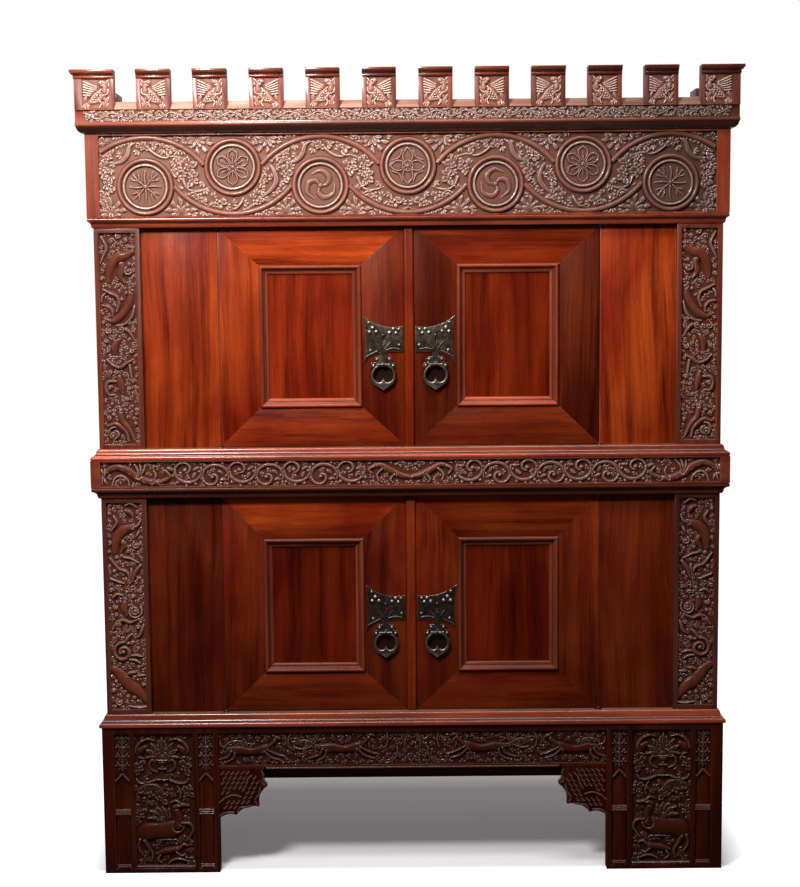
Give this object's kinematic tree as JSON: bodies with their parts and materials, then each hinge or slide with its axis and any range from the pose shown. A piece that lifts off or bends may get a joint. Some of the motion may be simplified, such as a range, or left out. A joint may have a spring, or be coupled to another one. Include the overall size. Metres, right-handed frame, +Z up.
{
  "type": "two-stage cupboard",
  "caption": "Tall carved wooden cupboard in two stages with panelled doors, ring pulls, carved bands and a crenellated crest.",
  "frame": {"origin": "on the floor at the middle of the plan", "axes": "+X to the right as seen from the front, the doors face -Y, +Z up"},
  "size_m": [1.662, 0.538, 2.053],
  "materials": {
    "polished_walnut": "french polish",
    "moulded_walnut": "polished",
    "carved_walnut": "waxed carving",
    "inner_boards": "bare wood",
    "forged_iron": "blackened"
  },
  "bodies": {
    "carcase": {"base_foot_left": "carved_walnut", "base_foot_right": "carved_walnut", "base_sides": "polished_walnut", "base_rails": "inner_boards", "apron_board": "carved_walnut", "apron_brackets": "carved_walnut", "base_moulding": "moulded_walnut", "floor_board": "inner_boards", "middle_boards": "inner_boards", "ceiling_board": "inner_boards", "top_board": "inner_boards", "back_boards": "inner_boards", "lower_uprights": "carved_walnut", "upper_uprights": "carved_walnut", "flank_boards": "polished_walnut", "case_sides": "polished_walnut", "shelves": "inner_boards", "shelf_cleats": "inner_boards", "mullions": "moulded_walnut", "hinge_plates": "forged_iron", "waist_board": "carved_walnut", "waist_mouldings": "moulded_walnut", "frieze_board": "carved_walnut", "frieze_roundels": "carved_walnut", "frieze_vine": "carved_walnut", "frieze_mouldings": "moulded_walnut", "crest_boards": "carved_walnut", "merlon_caps": "moulded_walnut"},
    "lower_left_door": {"lower_left_frame": "polished_walnut", "lower_left_panel": "polished_walnut", "lower_left_moulding": "moulded_walnut", "lower_left_hinge_leaves": "forged_iron", "lower_left_lock_plate": "forged_iron", "lower_left_lock_case": "forged_iron"},
    "lower_left_ring": {"lower_left_ring_pull": "forged_iron"},
    "lower_left_bolt": {"lower_left_lock_bolt": "forged_iron"},
    "lower_right_door": {"lower_right_frame": "polished_walnut", "lower_right_panel": "polished_walnut", "lower_right_moulding": "moulded_walnut", "lower_right_hinge_leaves": "forged_iron", "lower_right_lock_plate": "forged_iron", "lower_right_lock_case": "forged_iron"},
    "lower_right_ring": {"lower_right_ring_pull": "forged_iron"},
    "lower_right_bolt": {"lower_right_lock_bolt": "forged_iron"},
    "upper_left_door": {"upper_left_frame": "polished_walnut", "upper_left_panel": "polished_walnut", "upper_left_moulding": "moulded_walnut", "upper_left_hinge_leaves": "forged_iron", "upper_left_lock_plate": "forged_iron", "upper_left_lock_case": "forged_iron"},
    "upper_left_ring": {"upper_left_ring_pull": "forged_iron"},
    "upper_left_bolt": {"upper_left_lock_bolt": "forged_iron"},
    "upper_right_door": {"upper_right_frame": "polished_walnut", "upper_right_panel": "polished_walnut", "upper_right_moulding": "moulded_walnut", "upper_right_hinge_leaves": "forged_iron", "upper_right_lock_plate": "forged_iron", "upper_right_lock_case": "forged_iron"},
    "upper_right_ring": {"upper_right_ring_pull": "forged_iron"},
    "upper_right_bolt": {"upper_right_lock_bolt": "forged_iron"}
  },
  "joints": [
    {"name": "lower_left_door_swing", "type": "hinge", "parent": "carcase", "child": "lower_left_door", "pos_m": [-0.4835, -0.216, 0.703], "axis": [0, 0, -1], "range_deg": [0, 165]},
    {"name": "lower_left_ring_lift", "type": "hinge", "parent": "lower_left_door", "child": "lower_left_ring", "pos_m": [-0.0665, -0.22, 0.6275], "axis": [-1, 0, 0], "range_deg": [0, 95]},
    {"name": "lower_left_bolt_throw", "type": "slide", "parent": "lower_left_door", "child": "lower_left_bolt", "axis": [1, 0, 0], "range_m": [0, 0.008]},
    {"name": "lower_right_door_swing", "type": "hinge", "parent": "carcase", "child": "lower_right_door", "pos_m": [0.4835, -0.216, 0.703], "axis": [0, 0, 1], "range_deg": [0, 165]},
    {"name": "lower_right_ring_lift", "type": "hinge", "parent": "lower_right_door", "child": "lower_right_ring", "pos_m": [0.0665, -0.22, 0.6275], "axis": [-1, 0, 0], "range_deg": [0, 95]},
    {"name": "lower_right_bolt_throw", "type": "slide", "parent": "lower_right_door", "child": "lower_right_bolt", "axis": [-1, 0, 0], "range_m": [0, 0.008]},
    {"name": "upper_left_door_swing", "type": "hinge", "parent": "carcase", "child": "upper_left_door", "pos_m": [-0.4835, -0.216, 1.3895], "axis": [0, 0, -1], "range_deg": [0, 165]},
    {"name": "upper_left_ring_lift", "type": "hinge", "parent": "upper_left_door", "child": "upper_left_ring", "pos_m": [-0.0665, -0.22, 1.3195], "axis": [-1, 0, 0], "range_deg": [0, 95]},
    {"name": "upper_left_bolt_throw", "type": "slide", "parent": "upper_left_door", "child": "upper_left_bolt", "axis": [1, 0, 0], "range_m": [0, 0.008]},
    {"name": "upper_right_door_swing", "type": "hinge", "parent": "carcase", "child": "upper_right_door", "pos_m": [0.4835, -0.216, 1.3895], "axis": [0, 0, 1], "range_deg": [0, 165]},
    {"name": "upper_right_ring_lift", "type": "hinge", "parent": "upper_right_door", "child": "upper_right_ring", "pos_m": [0.0665, -0.22, 1.3195], "axis": [-1, 0, 0], "range_deg": [0, 95]},
    {"name": "upper_right_bolt_throw", "type": "slide", "parent": "upper_right_door", "child": "upper_right_bolt", "axis": [-1, 0, 0], "range_m": [0, 0.008]}
  ]
}
